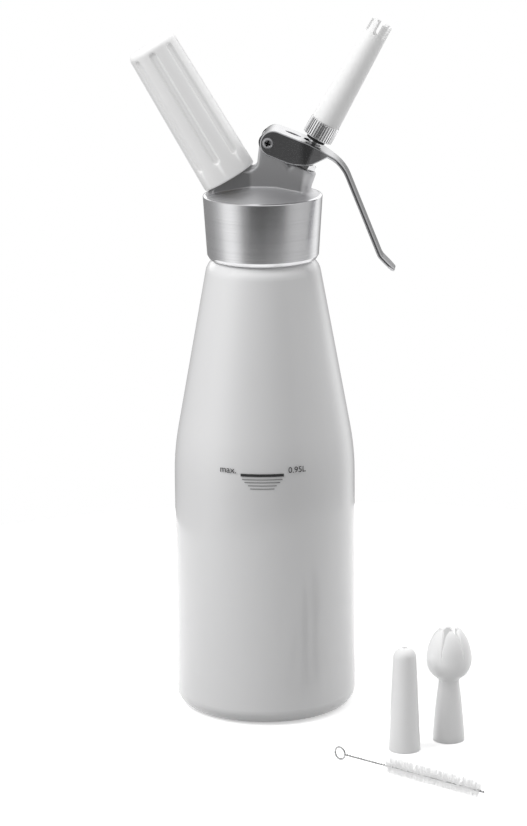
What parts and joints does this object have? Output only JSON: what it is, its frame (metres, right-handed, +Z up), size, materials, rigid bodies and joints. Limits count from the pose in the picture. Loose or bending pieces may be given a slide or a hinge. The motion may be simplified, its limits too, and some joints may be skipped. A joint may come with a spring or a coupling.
{
  "type": "whipped cream dispenser",
  "caption": "Tall white bottle with a conical shoulder and a screwed metal head that carries a leaning gas charger holder, a bent squeeze lever and a tilted star tip; spare tips and brush.",
  "frame": {"origin": "Centre of the bottle's foot, on the surface it stands on", "axes": "+Z up along the bottle's axis; the head's plane of symmetry is XZ, with the decorating tip and the lever towards +X and the gas charger holder towards -X; the front is -Y"},
  "size_m": [0.1925, 0.2013, 0.3738],
  "materials": {
    "bottle_lacquer": "gloss white lacquer",
    "head_casting": "satin turned and tumbled casting",
    "black_rubber": "black moulded rubber",
    "plated_brass": "bright turned brass",
    "bright_steel": "bright turned steel",
    "charger_steel": "drawn steel",
    "white_plastic": "smooth moulded white plastic",
    "adapter_metal": "bright knurled metal",
    "lever_metal": "polished pressed steel",
    "brush_bristles": "white nylon bristle"
  },
  "bodies": {
    "bottle": {"bottle": "bottle_lacquer"},
    "head": {"head": "head_casting", "head_gasket": "black_rubber", "piercer_body": "plated_brass", "piercing_pin": "bright_steel", "piercer_seal": "black_rubber", "gas_check_valve": "black_rubber", "valve_nut": "bright_steel", "stem_oring": "black_rubber", "valve_spring": "bright_steel"},
    "lever": {"lever": "lever_metal", "pivot_sleeve": "plated_brass", "pivot_washers": "black_rubber", "pivot_screw": "bright_steel", "pivot_nut": "bright_steel"},
    "valve": {"valve_stem": "bright_steel", "valve_seal": "black_rubber", "seal_retainer": "bright_steel", "stem_collar": "bright_steel"},
    "adapter": {"tip_adapter": "adapter_metal", "adapter_seal": "black_rubber"},
    "tip": {"star_tip": "white_plastic"},
    "holder": {"charger_holder": "white_plastic", "holder_insert": "plated_brass", "charger_bulb": "charger_steel"},
    "plain_tip": {"plain_tip": "white_plastic"},
    "tulip_tip": {"tulip_tip": "white_plastic"},
    "brush": {"brush_wire": "bright_steel", "brush_bristles": "brush_bristles"}
  },
  "joints": [
    {"name": "head_lift", "type": "slide", "parent": "bottle", "child": "head", "axis": [0, 0, 1], "range_m": [0, 0.035]},
    {"name": "lever_squeeze", "type": "hinge", "parent": "head", "child": "lever", "pos_m": [0.0039, 0, 0.3092], "axis": [0, 1, 0], "range_deg": [0, 10], "stiffness_Nm_per_rad": 1.5, "springref_deg": -11.46},
    {"name": "valve_travel", "type": "slide", "parent": "head", "child": "valve", "axis": [-0.4924, 0, -0.8704], "range_m": [0, 0.0038], "deforming": ["valve_spring"]},
    {"name": "adapter_unscrew", "type": "slide", "parent": "valve", "child": "adapter", "axis": [0.4924, 0, 0.8704], "range_m": [0, 0.02]},
    {"name": "tip_pull_off", "type": "slide", "parent": "adapter", "child": "tip", "axis": [0.4924, 0, 0.8704], "range_m": [0, 0.01]},
    {"name": "holder_unscrew", "type": "slide", "parent": "head", "child": "holder", "axis": [-0.5075, 0, 0.8616], "range_m": [0, 0.04]},
    {"name": "plain_tip_lift", "type": "slide", "parent": "bottle", "child": "plain_tip", "axis": [0, 0, 1], "range_m": [0, 0.03]},
    {"name": "tulip_tip_lift", "type": "slide", "parent": "bottle", "child": "tulip_tip", "axis": [0, 0, 1], "range_m": [0, 0.03]},
    {"name": "brush_lift", "type": "slide", "parent": "bottle", "child": "brush", "axis": [0, 0, 1], "range_m": [0, 0.03]}
  ],
  "couplings": [
    {"joint": "valve_travel", "follows": "lever_squeeze", "m_per_rad": 0.02118}
  ]
}
